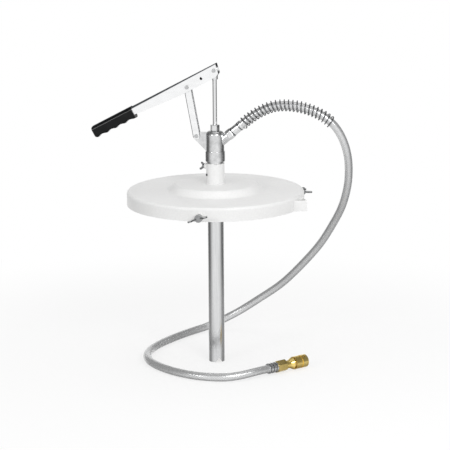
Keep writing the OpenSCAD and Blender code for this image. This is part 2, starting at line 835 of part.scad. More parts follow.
module packing_nut() {
    color(bright_zinc) difference() {
        union() {
            translate([0, 0, packing_seat])
                cylinder(r = gland_r - fit_gap, h = head_top - packing_seat + eps);
            translate([0, 0, head_top]) hexagon(packing_nut_af, packing_nut_h);
        }
        translate([0, 0, packing_seat - eps]) cylinder(r = rod_fit_r, h = head_h);
    }
}

// Hose and its fittings
module outlet_nipple() {
    color(bright_zinc) on_outlet(0) difference() {
        union() {
            translate([0, 0, outlet_reach - nipple_thread_len + fit_gap])
                cylinder(r = nipple_thread_r - fit_gap, h = nipple_thread_len);
            translate([0, 0, nipple_start]) hexagon(nipple_af, nipple_hex_len);
            translate([0, 0, nipple_start]) cylinder(r = stem_r, h = nipple_hex_len + stem_len);
        }
        cylinder(r = stem_bore_r, h = 4 * stem_len);
    }
}

module hose_ferrule() {
    color(bright_zinc) on_outlet(ferrule_start) difference() {
        union() {
            cylinder(r = ferrule_r, h = ferrule_len);
            translate([0, 0, ferrule_len - ferrule_flange_t])
                cylinder(r = ferrule_r + flange_extra, h = ferrule_flange_t);
        }
        translate([0, 0, -eps]) cylinder(r = stem_r + fit_gap, h = ferrule_len);
        translate([0, 0, ferrule_base_t]) cylinder(r = ferrule_bore_r, h = ferrule_len);
    }
}

module hose() {
    side = [-0.3, 0.6, 0.75];
    path = curve(0, last, hose_steps);
    rings = len(path);
    shell = [for (i = [0 : rings - 1]) each ring(path[i], tangent(path, i), side, hose_d / 2, hose_sides)];
    bore = [for (i = [0 : rings - 1]) each ring(path[i], tangent(path, i), side, hose_bore / 2, hose_sides)];
    count = rings * hose_sides;
    color(clear_hose) polyhedron(concat(shell, bore), concat(
        wall_faces(rings, hose_sides, 0, false),
        wall_faces(rings, hose_sides, count, true),
        rim_faces(hose_sides, 0, count, false),
        rim_faces(hose_sides, count - hose_sides, 2 * count - hose_sides, true)
    ));
}

module spring_guard() {
    rings = len(guard_wire_line);
    shell = [
        for (i = [0 : rings - 1])
            each ring(guard_wire_line[i], tangent(guard_wire_line, i), guard_wire_out[i],
                guard_wire / 2, guard_sides)
    ];
    color(bright_zinc) polyhedron(shell, concat(
        wall_faces(rings, guard_sides, 0, false),
        cap_faces(guard_sides, 0, false),
        cap_faces(guard_sides, (rings - 1) * guard_sides, true)
    ));
}

module end_ferrule() {
    color(bright_zinc) on_coupler(-end_ferrule_len) difference() {
        cylinder(r = ferrule_r + flange_extra, h = end_ferrule_len + ferrule_base_t);
        translate([0, 0, -eps]) cylinder(r = ferrule_bore_r, h = end_ferrule_len + eps);
        cylinder(r = stem_r + fit_gap, h = 2 * end_ferrule_len);
    }
}

module hex_adapter() {
    color(brass) on_coupler(0) difference() {
        union() {
            translate([0, 0, -end_ferrule_len])
                cylinder(r = stem_r, h = end_ferrule_len + adapter_start + eps);
            translate([0, 0, adapter_start]) hexagon(adapter_af, adapter_len);
        }
        translate([0, 0, -2 * end_ferrule_len]) cylinder(r = stem_bore_r, h = 4 * adapter_len);
    }
}

module coupler_body() {
    color(brass) on_coupler(0) difference() {
        union() {
            translate([0, 0, body_start]) cylinder(d = neck_d, h = neck_len);
            translate([0, 0, barrel_start - flare_len])
                cylinder(r1 = neck_d / 2, r2 = flare_r, h = flare_len);
            translate([0, 0, barrel_start]) cylinder(r = barrel_r, h = barrel_end - barrel_start);
        }
        translate([0, 0, body_start - eps]) cylinder(r = stem_bore_r, h = barrel_end);
        translate([0, 0, socket_floor]) cylinder(d = socket_d, h = socket_depth + eps);
        translate([0, 0, socket_floor - coupler_seal_t])
            cylinder(r = coupler_seal_r + fit_gap, h = coupler_seal_t + eps);
        translate([0, 0, ball_at]) for (k = [0 : lock_ball_count - 1])
            rotate([0, 90, 360 * k / lock_ball_count])
                cylinder(r = lock_ball_r + fit_gap, h = barrel_r + eps);
    }
}

module coupler_seal() {
    color(dark_seal) on_coupler(0)
        tube_between(socket_floor - coupler_seal_t, socket_floor - fit_gap, coupler_seal_r, stem_bore_r);
}

module coupler_spring() {
    color(bright_zinc) on_coupler(0)
        tube_between(sleeve_start, sleeve_start + spring_len, sleeve_fit_r + spring_wall, sleeve_fit_r);
}

module coupler_balls() {
    color(chromed) on_coupler(ball_at) for (k = [0 : lock_ball_count - 1])
        rotate([0, 0, 360 * k / lock_ball_count])
            translate([socket_d / 2 + lock_ball_r + fit_gap, 0, 0]) sphere(r = lock_ball_r, $fn = 32);
}

module coupler_sleeve() {
    rear_len = sleeve_len / 2 - groove_w / 2;
    color(brass) on_coupler(sleeve_start) difference() {
        cylinder(r = sleeve_r, h = sleeve_len);
        translate([0, 0, rear_len]) tube_between(0, groove_w, sleeve_r + eps, sleeve_r - groove_depth);
        translate([0, 0, -eps]) cylinder(r = sleeve_fit_r, h = sleeve_len + 2 * eps);
        translate([0, 0, -eps])
            cylinder(r = sleeve_cavity_r, h = spring_len + sleeve_travel + rest_gap + eps);
        translate([0, 0, sleeve_len - 8 - 2 * lock_ball_r])
            cylinder(r = lock_groove_r, h = 4 * lock_ball_r + sleeve_travel);
        translate([0, 0, sleeve_len - 7]) rotate([0, 90, 270 - sleeve_hole_angle])
            cylinder(r = sleeve_hole_r, h = sleeve_d);
    }
}

// Rod and piston
module piston_rod() {
    color(chromed) translate([0, 0, rod_foot]) cylinder(r = rod_r, h = rod_top - rod_foot);
}

module rod_head() {
    neck_r = rod_head_w / 2 - 0.6;
    color(bright_zinc) translate([0, 0, rod_pin_at.y]) difference() {
        union() {
            rotate([90, 0, 0]) cylinder(r = rod_head_r, h = rod_head_w, center = true);
            translate([0, 0, -rod_head_neck]) cylinder(r = neck_r, h = rod_head_neck);
        }
        rotate([90, 0, 0]) cylinder(r = pin_hole_r, h = 2 * rod_head_w, center = true);
        translate([0, 0, -rod_head_neck - eps])
            cylinder(r = rod_fit_r, h = rod_top + fit_gap - rod_pin_at.y + rod_head_neck + eps);
    }
}

module piston_body() {
    port_r = 2.6;
    color(brass) difference() {
        union() {
            translate([0, 0, piston_body_z]) cylinder(r = piston_r, h = piston_h);
            translate([0, 0, piston_z]) cylinder(r = piston_stem_r, h = piston_nut_h + cup_h + eps);
        }
        translate([0, 0, piston_z - eps]) cylinder(r = piston_port_r, h = piston_body_z - piston_z + 2 * eps);
        translate([0, 0, piston_body_z]) cylinder(r = piston_guide_r, h = piston_cage_top - piston_body_z);
        translate([0, 0, rod_foot - fit_gap]) cylinder(r = rod_fit_r, h = piston_h);
        translate([0, 0, piston_ball_z + piston_lift]) for (a = [30, 150, 270])
            rotate([0, 90, a]) cylinder(r = port_r, h = tube_d);
    }
}

module piston_cup() {
    lip_t = 2;
    color(dark_seal) difference() {
        tube_between(cup_z, cup_z + cup_h - fit_gap, cup_r, piston_stem_r + fit_gap);
        tube_between(cup_z + 3, cup_z + cup_h + eps, cup_r - lip_t, piston_stem_r + lip_t);
    }
}

module piston_nut() {
    color(brass) translate([0, 0, piston_z]) difference() {
        hexagon(2 * piston_stem_r + 6, piston_nut_h - fit_gap);
        translate([0, 0, -eps]) cylinder(r = piston_stem_r + fit_gap, h = piston_nut_h + 2 * eps);
    }
}

module piston_ball() {
    color(chromed) translate([0, 0, piston_ball_z]) sphere(r = piston_ball_r);
}

// Lever
module lever_side() {
    slant = lever_nose - 3.4;
    polygon([
        [lever_nose, lever_top], [slant, floor_drop + 4], [slant - 7, floor_drop],
        [-lever_arm - lever_depth, floor_drop], [-grip_start, tail_drop], [-lever_tail, tail_drop],
        [-lever_tail, tang_top], [-grip_start + tang_gap, tang_top], [-grip_start + tang_gap, lever_top],
    ]);
}

module lever_hollow() {
    slope = (tail_drop - floor_drop) / (grip_start - lever_arm - lever_depth);
    rise = slope * max(0, floor_start - lever_arm - lever_depth);
    polygon([
        [lever_nose + eps, lever_top + eps], [lever_nose + eps, floor_drop - eps],
        [-floor_start, floor_drop - eps], [-floor_start, floor_drop + rise + lever_t],
        [-grip_start, tail_drop + lever_t], [-lever_tail - eps, tail_drop + lever_t],
        [-lever_tail - eps, lever_top + eps],
    ]);
}

module lever_holes() {
    fulcrum_along = sqrt(lever_arm * lever_arm - fulcrum_drop * fulcrum_drop);
    circle(r = pin_hole_r);
    translate([-fulcrum_along, -fulcrum_drop]) circle(r = pin_hole_r);
    translate([-spare_hole_at, -fulcrum_drop / 2]) circle(d = spare_hole_d);
}

module lever_arm_channel() {
    color(bright_zinc) on_lever() difference() {
        across(lever_w) lever_side();
        across(2 * cheek_in) lever_hollow();
        across(2 * lever_w) lever_holes();
    }
}

module rod_pin() {
    color(cast_grey) translate([rod_pin_at.x, 0, rod_pin_at.y])
        headed_pin(pin_r, lever_w / 2 + fit_gap + pin_head_t);
}

module fulcrum_pin() {
    color(cast_grey) translate([fulcrum_at.x, 0, fulcrum_at.y])
        headed_pin(pin_r, lever_w / 2 + fit_gap + pin_head_t);
}

module fulcrum_spacer() {
    color(bright_zinc) translate([fulcrum_at.x, 0, fulcrum_at.y]) rotate([90, 0, 0])
        translate([0, 0, -ear_t / 2]) tube_between(0, ear_t, pin_r + 1.6, pin_hole_r);
}

module round_section(w, h, r) {
    for (x = [-1, 1], y = [-1, 1])
        translate([x * (w / 2 - r), y * (h / 2 - r)]) circle(r = r);
    square([w - 2 * r, h], center = true);
    square([w, h - 2 * r], center = true);
}

module grip() {
    top = lever_top + grip_cover;
    mid = top - grip_depth / 2;
    bottom = top - grip_depth;
    finger_half = (finger_pitch - finger_land) / 2;
    finger_r = (finger_half * finger_half + finger_depth * finger_depth) / (2 * finger_depth);
    first = grip_start + (grip_len - 3 * finger_pitch) / 2;
    color(black_rubber) on_lever() difference() {
        intersection() {
            translate([-grip_start, 0, mid]) rotate([0, -90, 0]) rotate([0, 0, 90])
                linear_extrude(grip_len) round_section(grip_w, grip_depth, grip_corner_r);
            across(2 * grip_w) translate([-grip_start - grip_len / 2 + grip_end_r, mid])
                round_section(grip_len + 2 * grip_end_r, grip_depth, grip_end_r);
        }
        for (i = [0 : 3])
            translate([-first - i * finger_pitch, 0, bottom + finger_depth - finger_r]) rotate([90, 0, 0])
                cylinder(r = finger_r, h = 2 * grip_w, center = true);
        translate([-lever_tail - fit_gap, -lever_w / 2 - fit_gap, tail_drop - fit_gap])
            cube([lever_tail - grip_start + 1, lever_w + 2 * fit_gap, tang_top - tail_drop + 2 * fit_gap]);
    }
}

// Link
module link_outline() {
    difference() {
        union() {
            circle(d = link_w);
            translate([-link_w / 2, 0]) square([link_w, link_len]);
            translate([0, slot_mid]) circle(r = link_head_r);
            translate([-slot_len, slot_mid]) circle(r = link_head_r);
            translate([-slot_len, slot_mid - link_head_r]) square([slot_len, 2 * link_head_r]);
        }
        circle(r = pin_hole_r);
        translate([0, slot_mid]) circle(r = slot_r);
        translate([-slot_len, slot_mid]) circle(r = slot_r);
        translate([-slot_len, slot_mid - slot_r]) square([slot_len, 2 * slot_r]);
    }
}

module link_bar(side) {
    color(bright_zinc) on_link() translate([0, side * (link_in + link_t / 2), 0])
        across(link_t) link_outline();
}

module link_bar_front() {
    link_bar(-1);
}

module link_bar_rear() {
    link_bar(1);
}

module link_pin() {
    color(cast_grey) on_link() headed_pin(pin_r, link_out + fit_gap + pin_head_t);
}

lid();
lid_collar();
grub_screw();
collar_boss();
rim_bosses();
nozzle_pocket();
collar_screw();
rim_screw_front();
rim_screw_right();
rim_screw_left();
suction_tube();
tube_foot();
foot_valve_seat();
foot_valve_cage();
foot_valve_ball();
pump_head();
tube_seal();
gland_washer();
gland_packing();
packing_nut();
outlet_nipple();
hose_ferrule();
hose();
spring_guard();
end_ferrule();
hex_adapter();
coupler_body();
coupler_seal();
coupler_spring();
coupler_balls();
coupler_sleeve();
piston_rod();
rod_head();
piston_body();
piston_cup();
piston_nut();
piston_ball();
lever_arm_channel();
rod_pin();
fulcrum_pin();
fulcrum_spacer();
grip();
link_bar_front();
link_bar_rear();
link_pin();
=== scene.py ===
"""Dresses the hand lever transfer pump: camera, hose, fine pieces, materials and light."""

import math

import bmesh
import bpy
from mathutils import Matrix, Vector


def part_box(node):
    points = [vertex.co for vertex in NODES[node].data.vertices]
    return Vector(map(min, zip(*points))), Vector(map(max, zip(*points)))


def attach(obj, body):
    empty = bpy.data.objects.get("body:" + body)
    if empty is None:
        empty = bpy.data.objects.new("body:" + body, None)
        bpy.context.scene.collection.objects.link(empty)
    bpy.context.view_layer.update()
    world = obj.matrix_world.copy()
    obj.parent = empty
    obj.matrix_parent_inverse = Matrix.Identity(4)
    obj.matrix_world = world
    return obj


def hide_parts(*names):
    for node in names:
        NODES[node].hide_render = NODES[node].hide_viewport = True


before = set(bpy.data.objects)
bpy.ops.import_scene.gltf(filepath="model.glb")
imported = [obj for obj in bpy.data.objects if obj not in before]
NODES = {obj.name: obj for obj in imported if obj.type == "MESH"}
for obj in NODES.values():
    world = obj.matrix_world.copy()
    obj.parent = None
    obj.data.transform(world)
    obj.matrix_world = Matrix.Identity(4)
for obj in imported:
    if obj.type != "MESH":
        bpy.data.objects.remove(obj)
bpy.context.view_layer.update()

MM = 0.001
FLOOR_Z = -0.330
# The studio's front is turned this far from -Y towards +X
FRONT_TURN = math.radians(10)
OUTLET_ANGLE = math.radians(40)
OUTLET_Z = 0.0829
COUPLER_AT = Vector((0.121, -0.067, -0.3177))
COUPLER_DIR = Vector((math.sqrt(0.5), math.sqrt(0.5), 0))


def along_outlet(s):
    return Vector((s * math.cos(OUTLET_ANGLE), 0, OUTLET_Z + s * math.sin(OUTLET_ANGLE)))


def along_coupler(w):
    return COUPLER_AT + w * COUPLER_DIR


# Camera


def add_camera():
    """The camera in front, aimed some pixels of its frame off the target, and slightly rolled."""
    elevation, roll = math.radians(11.59), math.radians(-0.48)
    target, distance = Vector((0, 0, 0.0015)), 3.09375
    focal_px, frame_px, sensor_mm = 1661.9, 450, 36
    pan_px, tilt_px, far_clip = -9.2, -35.6, 50
    back = Vector(
        (
            math.sin(FRONT_TURN) * math.cos(elevation),
            -math.cos(FRONT_TURN) * math.cos(elevation),
            math.sin(elevation),
        )
    )
    right = Vector((math.cos(FRONT_TURN), math.sin(FRONT_TURN), 0))
    up = back.cross(right)
    ahead = -back
    tilt = math.atan2(tilt_px, focal_px)
    pan = math.atan2(pan_px, focal_px)
    tilted = math.sin(tilt) * up + math.cos(tilt) * ahead
    up2 = math.cos(tilt) * up - math.sin(tilt) * ahead
    right2 = math.cos(pan) * right + math.sin(pan) * tilted
    ahead2 = -math.sin(pan) * right + math.cos(pan) * tilted
    right3 = math.cos(roll) * right2 + math.sin(roll) * up2
    up3 = -math.sin(roll) * right2 + math.cos(roll) * up2
    data = bpy.data.cameras.new("camera")
    data.sensor_fit = "HORIZONTAL"
    data.sensor_width = sensor_mm
    data.lens = focal_px / frame_px * sensor_mm
    data.clip_end = far_clip
    camera = bpy.data.objects.new("camera", data)
    turn = Matrix((right3, up3, -ahead2)).transposed().to_4x4()
    camera.matrix_world = Matrix.Translation(target + distance * back) @ turn
    bpy.context.scene.collection.objects.link(camera)
    bpy.context.scene.camera = camera


add_camera()


# Curves and tubes


def bend(a, b, c, d, t):
    """The point at share t from b to c, on a smooth curve through a, b, c and d."""
    return 0.5 * (
        2 * b + (c - a) * t + (2 * a - 5 * b + 4 * c - d) * t * t + (3 * b - a - 3 * c + d) * t * t * t
    )


def smooth_curve(points, steps):
    """A smooth curve through points, with each span cut into steps."""
    ends = [2 * points[0] - points[1]] + points + [2 * points[-1] - points[-2]]
    out = []
    for i in range(len(points) - 1):
        out += [bend(*ends[i : i + 4], j / steps) for j in range(steps)]
    return out + [points[-1]]


def lengths(points):
    """The length of a line up to each of its points."""
    total = [0.0]
    for a, b in zip(points, points[1:]):
        total.append(total[-1] + (b - a).length)
    return total


def even(points, spacing):
    """The same curve with its points evenly apart."""
    sums = lengths(points)
    count = max(2, round(sums[-1] / spacing))
    out, k = [], 0
    for i in range(count + 1):
        s = sums[-1] * i / count
        while k < len(sums) - 2 and sums[k + 1] < s:
            k += 1
        t = (s - sums[k]) / (sums[k + 1] - sums[k])
        out.append(points[k].lerp(points[k + 1], t))
    return out


def frames(points):
    """A tangent and a side at each point, with the least twist from one to the next."""
    last = len(points) - 1
    tangents = [(points[min(i + 1, last)] - points[max(i - 1, 0)]).normalized() for i in range(last + 1)]
    side = tangents[0].orthogonal().normalized()
    out = []
    for t in tangents:
        side = (side - side.dot(t) * t).normalized()
        out.append((t, side))
    return out


def new_object(name, bm, body):
    mesh = bpy.data.meshes.new(name)
    bm.to_mesh(mesh)
    bm.free()
    for polygon in mesh.polygons:
        polygon.use_smooth = True
    obj = bpy.data.objects.new(name, mesh)
    bpy.context.scene.collection.objects.link(obj)
    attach(obj, body)
    return obj


def tube(name, points, radius, sides, body, bore=None):
    """A tube along points, solid unless it has the radius of a bore.

    Its UV map is metres along the tube and the share of a turn about it.
    """
    bm = bmesh.new()
    uv = bm.loops.layers.uv.new("along")
    sums = lengths(points)
    around = [2 * math.pi * k / sides for k in range(sides)]
    walls = []
    for r in [radius] + ([bore] if bore else []):
        rings = []
        for p, (t, n) in zip(points, frames(points)):
            b = t.cross(n)
            rings.append([bm.verts.new(p + r * (math.cos(a) * n + math.sin(a) * b)) for a in around])
        for i in range(len(rings) - 1):
            here, there = rings[i], rings[i + 1]
            for k in range(sides):
                j = (k + 1) % sides
                quad = [here[k], here[j], there[j], there[k]]
                spots = [(sums[i], k), (sums[i], k + 1), (sums[i + 1], k + 1), (sums[i + 1], k)]
                face = bm.faces.new(quad if r == radius else quad[::-1])
                for loop, (s, turn) in zip(face.loops, spots if r == radius else spots[::-1]):
                    loop[uv].uv = (s, turn / sides)
        walls.append(rings)
    if bore:
        for end, flip in ((0, False), (-1, True)):
            outer, inner = walls[0][end], walls[1][end]
            for k in range(sides):
                j = (k + 1) % sides
                quad = [outer[k], inner[k], inner[j], outer[j]]
                bm.faces.new(quad[::-1] if flip else quad)
    else:
        bm.faces.new(walls[0][0][::-1])
        bm.faces.new(walls[0][-1])
    return new_object(name, bm, body)


# Hose and spring guard

HOSE_D = 0.015
HOSE_BORE = 0.0096
HOSE_START = 0.04515
FERRULE_END = 0.0661
STRAIGHT_OUT = 0.015
STRAIGHT_IN = (-0.0425, -0.017, 0)
HOSE_STEP, HOSE_SIDES = 0.003, 32
GUARD_WIRE = 0.0021
GUARD_PLAY = 0.0016
GUARD_STEP, GUARD_SIDES = 0.001, 10
SPAN_STEPS = 16

ROUTE = [along_outlet(s) for s in (HOSE_START, FERRULE_END, FERRULE_END + STRAIGHT_OUT)]
ROUTE += [
    Vector(p) * MM
    for p in [
        (82, 0, 148.5), (108, 0, 159.5), (134, 0, 162), (160, 0, 159), (184, 0, 151.5), (205, 1, 140),
        (222, 5, 123.5), (234, 12, 102), (242, 22, 75), (244.5, 36, 43), (241, 55, 5), (229, 80, -39),
        (209, 106, -81), (180, 134, -130), (141, 160, -179), (99, 184, -224), (52, 200, -261),
        (11, 207, -290), (-22, 203, -308), (-51, 188, -319), (-74, 163, -322), (-93, 130, -322),
        (-110, 95, -322), (-125, 57, -322), (-133, 20, -322), (-132, -16, -322), (-120, -49, -322),
        (-98, -77, -322), (-70, -100, -322), (-42, -116, -322), (-14, -126, -322), (13, -129, -322),
        (38, -126.5, -322), (60, -118, -320.8), (77, -108, -319),
    ]
]
ROUTE += [along_coupler(w) for w in STRAIGHT_IN]
CURVE = smooth_curve(ROUTE, SPAN_STEPS)

hose_line = even(CURVE, HOSE_STEP)
hose = tube("hose_skin", hose_line, HOSE_D / 2, HOSE_SIDES, "pump", bore=HOSE_BORE / 2)
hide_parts("hose")


def guard_line():
    """The spring guard's wire: an even coil along the hose, with a short straight lead at each end."""
    turns, turn_steps, length, first = 24, 32, 0.184, 0.0003
    first_span, end_span = 1, 11
    lead = GUARD_WIRE
    radius = HOSE_D / 2 + GUARD_WIRE / 2 + GUARD_PLAY
    line = even(CURVE[first_span * SPAN_STEPS : end_span * SPAN_STEPS], GUARD_STEP)
    sums = lengths(line)
    steps = turns * turn_steps
    out = []
    for i in range(-1, steps + 2):
        f = min(max(i / steps, 0), 1)
        s = first + lead + f * (length - 2 * lead) + (-lead if i < 0 else lead if i > steps else 0)
        k = min(min(range(len(sums)), key=lambda j: abs(sums[j] - s)), len(line) - 2)
        centre = line[k] + (line[k + 1] - line[k]).normalized() * (s - sums[k])
        t = (line[min(k + 2, len(line) - 1)] - line[max(k - 2, 0)]).normalized()
        n = Vector((0, 1, 0)).cross(t).normalized()
        turn = 2 * math.pi * turns * f
        out.append(centre + radius * (math.cos(turn) * n + math.sin(turn) * t.cross(n)))
    return out


guard = tube("spring_guard_wire", guard_line(), GUARD_WIRE / 2, GUARD_SIDES, "pump")
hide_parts("spring_guard")


# Crimped rings on the hose's two ferrules, whose dark steel also paints the shade of grooves


def on_axis(at, along):
    """A frame whose Z runs along an axis."""
    return Matrix.Translation(at) @ along.to_track_quat("Z", "Y").to_matrix().to_4x4()


def turned(name, place, profile, sides, body, ripple=(0, 0.0)):
    """A closed ring: a profile of (radius, height) points turned about a frame's Z axis.

    A ripple is the number of waves round the ring and their height.
    """
    bm = bmesh.new()
    waves, depth = ripple
    rings = []
    for k in range(sides):
        a = 2 * math.pi * k / sides
        grow = depth * math.cos(waves * a)
        ring = [
            bm.verts.new(place @ Vector(((r + grow) * math.cos(a), (r + grow) * math.sin(a), z)))
            for r, z in profile
        ]
        rings.append(ring)
    count = len(profile)
    for k in range(sides):
        here, there = rings[k], rings[(k + 1) % sides]
        for i in range(count):
            j = (i + 1) % count
            bm.faces.new((here[i], there[i], there[j], here[j]))
    bmesh.ops.recalc_face_normals(bm, faces=bm.faces)
    return new_object(name, bm, body)


def bead(r, z, size):
    """The profile of a round bead."""
    points = 10
    turns = [2 * math.pi * k / points for k in range(points)]
    return [(r + size * math.cos(a), z + size * math.sin(a)) for a in turns]


def band(r, z, width):
    """The profile of a flat band, its edges eased."""
    depth, corner = 0.0008, 0.0002
    top, low = z + width / 2, z - width / 2
    lower = [(r - depth, low), (r - corner, low), (r, low + corner)]
    upper = [(r, top - corner), (r - corner, top), (r - depth, top)]
    return lower + upper


OUTLET = on_axis(along_outlet(0), Vector((math.cos(OUTLET_ANGLE), 0, math.sin(OUTLET_ANGLE))))
COUPLER = on_axis(COUPLER_AT, COUPLER_DIR)
# Each row: name, axis, radius and width of the rings, and their places along the axis
CRIMPS = [
    ("outlet_crimp", OUTLET, 0.0089, 0.0024, (0.0438, 0.0600)),
    ("end_crimp", COUPLER, 0.0097, 0.0018, (-0.0150, -0.0085, -0.0020)),
]
CRIMP_SIDES = 48
crimp_rings = []
for label, axis, radius, width, places in CRIMPS:
    for i, z in enumerate(places):
        profile = band(radius, z, width)
        crimp_rings.append(turned(f"{label}_{i}", axis, profile, CRIMP_SIDES, "pump"))


# Materials


def fill_ramp(node, stops):
    """Sets a colour ramp to stops of (place, colour)."""
    elements = node.color_ramp.elements
    while len(elements) < len(stops):
        elements.new(0.5)
    for element, (at, colour) in zip(elements, stops):
        element.position = at
        element.color = (*colour, 1)


class Shader:
    """A Principled material built up by short calls."""

    def __init__(self, name, colour, roughness, metallic=0.0, **sockets):
        self.material = bpy.data.materials.new(name)
        self.material.use_nodes = True
        self.tree = self.material.node_tree
        self.bsdf = self.tree.nodes["Principled BSDF"]
        self.set("Base Color", (*colour, 1))
        self.set("Roughness", roughness)
        self.set("Metallic", metallic)
        for key, value in sockets.items():
            self.set(key.replace("_", " "), value)

    def set(self, socket, value):
        self.bsdf.inputs[socket].default_value = value

    def node(self, kind, **settings):
        """A node whose capitalised settings are values of its sockets."""
        made = self.tree.nodes.new(kind)
        for key, value in settings.items():
            if key[0].isupper():
                made.inputs[key.replace("_", " ")].default_value = value
            else:
                setattr(made, key, value)
        return made

    def link(self, source, target):
        self.tree.links.new(source, target)

    def place(self, scale=(1, 1, 1)):
        spot = self.node("ShaderNodeTexCoord")
        mapping = self.node("ShaderNodeMapping", Scale=scale)
        self.link(spot.outputs["Object"], mapping.inputs["Vector"])
        return mapping.outputs["Vector"]

    def noise(self, scale, detail=4, where=None):
        made = self.node("ShaderNodeTexNoise", Scale=scale, Detail=detail)
        self.link(where or self.place(), made.inputs["Vector"])
        return made.outputs["Fac"]

    def math(self, operation, a, b=0.0):
        made = self.node("ShaderNodeMath", operation=operation)
        for value, socket in ((a, made.inputs[0]), (b, made.inputs[1])):
            if isinstance(value, (int, float)):
                socket.default_value = value
            else:
                self.link(value, socket)
        return made.outputs[0]

    def ramp(self, factor, stops):
        made = self.node("ShaderNodeValToRGB")
        fill_ramp(made, stops)
        self.link(factor, made.inputs["Fac"])
        return made.outputs["Color"]

    def colour(self, factor, *stops):
        self.link(self.ramp(factor, stops), self.bsdf.inputs["Base Color"])

    def rough(self, factor, low, high):
        made = self.node("ShaderNodeMapRange", To_Min=low, To_Max=high)
        self.link(factor, made.inputs["Value"])
        self.link(made.outputs["Result"], self.bsdf.inputs["Roughness"])

    def bump(self, height, strength, distance):
        made = self.node("ShaderNodeBump", Strength=strength, Distance=distance)
        self.link(height, made.inputs["Height"])
        self.link(made.outputs["Normal"], self.bsdf.inputs["Normal"])


def metal(name, dark, light, rough, size=60, grain=300, depth=0.06):
    """Plain metal: cloudy colour, uneven polish and a fine grain."""
    low, high = rough
    grain_height = 0.0003
    s = Shader(name, light, low, 1.0)
    s.colour(s.noise(size, 4), (0.3, dark), (0.7, light))
    s.rough(s.noise(2 * size, 4), low, high)
    s.bump(s.noise(grain, 3), depth, grain_height)
    return s.material


def grey(value, tint=0.01):
    """A grey, a little blue by default."""
    return (value, value + tint / 2, value + tint)


def white_paint():
    s = Shader("white_paint", (0.88, 0.88, 0.87), 0.38, Specular_IOR_Level=0.35, Coat_Weight=0.1)
    broad, fine = (s.math("MULTIPLY", s.noise(*size), 0.5) for size in ((9, 3), (330, 2)))
    cloud = s.math("ADD", broad, fine)
    s.colour(cloud, (0.35, (0.84, 0.84, 0.835)), (0.65, (0.905, 0.905, 0.9)))
    s.rough(s.noise(40, 2), 0.34, 0.46)
    s.bump(s.noise(420, 2), 0.12, 0.0004)
    return s.material


def sheet_plate(name, inner, across, start):
    """Bright plate with painted shade: dark on its cut edges and in a band along one edge.

    A channel's inner faces, nearer the middle than inner, get painted shade too. The band starts at
    start, measured in the direction across the plate.
    """
    blur, face_on, edge_on = 0.0004, 0.98, 0.8
    s = Shader(name, grey(0.9), 0.3, 1.0)
    spot = s.node("ShaderNodeTexCoord")
    facing = s.node("ShaderNodeSeparateXYZ")
    s.link(spot.outputs["Normal"], facing.inputs["Vector"])
    # Painted shade: faces turned edge-on, the cut edges, are coloured dark.
    edge = s.node("ShaderNodeMapRange", From_Min=face_on, From_Max=edge_on)
    s.link(s.math("ABSOLUTE", facing.outputs["Y"]), edge.inputs["Value"])
    place = s.node("ShaderNodeSeparateXYZ")
    s.link(spot.outputs["Object"], place.inputs["Vector"])
    # Painted shade: the channel's inner faces, nearer the middle than inner, are coloured dark.
    inner_painted_shade = s.math("LESS_THAN", s.math("ABSOLUTE", place.outputs["Y"]), inner)
    grain = s.noise(5, 4, s.place(scale=(8, 40, 40)))
    plate = s.ramp(grain, ((0.3, grey(0.88)), (0.7, grey(0.95))))
    # The dark colour that paints the shade.
    painted_shade_colour = s.ramp(s.noise(90, 3), ((0.3, grey(0.045)), (0.7, grey(0.085))))
    height = s.node("ShaderNodeVectorMath", operation="DOT_PRODUCT")
    s.link(spot.outputs["Object"], height.inputs[0])
    height.inputs[1].default_value = across
    # Painted shade in a band along one edge, starting at start across the plate.
    painted_shade_band = s.node("ShaderNodeMapRange", From_Min=start - blur, From_Max=start + blur)
    s.link(height.outputs["Value"], painted_shade_band.inputs["Value"])
    # Where the painted shade lies: cut edges, the channel's inner faces and the edge band.
    dark = s.math("MAXIMUM", s.math("MAXIMUM", inner_painted_shade, edge.outputs["Result"]), painted_shade_band.outputs["Result"])
    mix = s.node("ShaderNodeMix", data_type="RGBA")
    s.link(dark, mix.inputs["Factor"])
    s.link(plate, mix.inputs["A"])
    s.link(painted_shade_colour, mix.inputs["B"])
    s.link(mix.outputs["Result"], s.bsdf.inputs["Base Color"])
    s.rough(s.noise(45, 4), 0.26, 0.38)
    return s.material


def lever_plate():
    """The lever's plate, with a band of painted shade along its top edge that tapers a little."""
    inner, half_height, painted_shade_band = 0.0078, 0.010, 0.0026
    rod_pin_z, tilt, taper = 0.2249, math.radians(27.6074), math.radians(0.7)
    top = rod_pin_z * math.cos(tilt) + half_height
    across = (-math.sin(tilt + taper), 0, math.cos(tilt + taper))
    return sheet_plate("lever_plate", inner, across, top - painted_shade_band)


def link_plate():
    """The link bars' plate, with a band of painted shade along the left edge."""
    half_width, painted_shade_band = 0.00625, 0.001
    foot, head = (sum(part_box(pin), Vector()) / 2 for pin in ("link_pin", "fulcrum_pin"))
    left = (head - foot).normalized().cross(Vector((0, 1, 0)))
    return sheet_plate("link_plate", 0.0, left, foot.dot(left) + half_width - painted_shade_band)


def drawn_tube():
    s = Shader("drawn_tube", grey(0.76), 0.2, 1.0)
    grain = s.noise(4, 6, s.place(scale=(160, 160, 3)))
    s.colour(grain, (0.3, grey(0.68)), (0.7, grey(0.82)))
    s.rough(s.noise(3, 6, s.place(scale=(90, 90, 6))), 0.14, 0.26)
    s.bump(grain, 0.03, 0.0002)
    return s.material


def chrome_rod():
    s = Shader("chrome_rod", grey(0.8), 0.12, 1.0)
    s.rough(s.noise(5, 5, s.place(scale=(200, 200, 12))), 0.06, 0.15)
    s.colour(s.noise(30, 3), (0.3, grey(0.76)), (0.7, grey(0.84)))
    return s.material


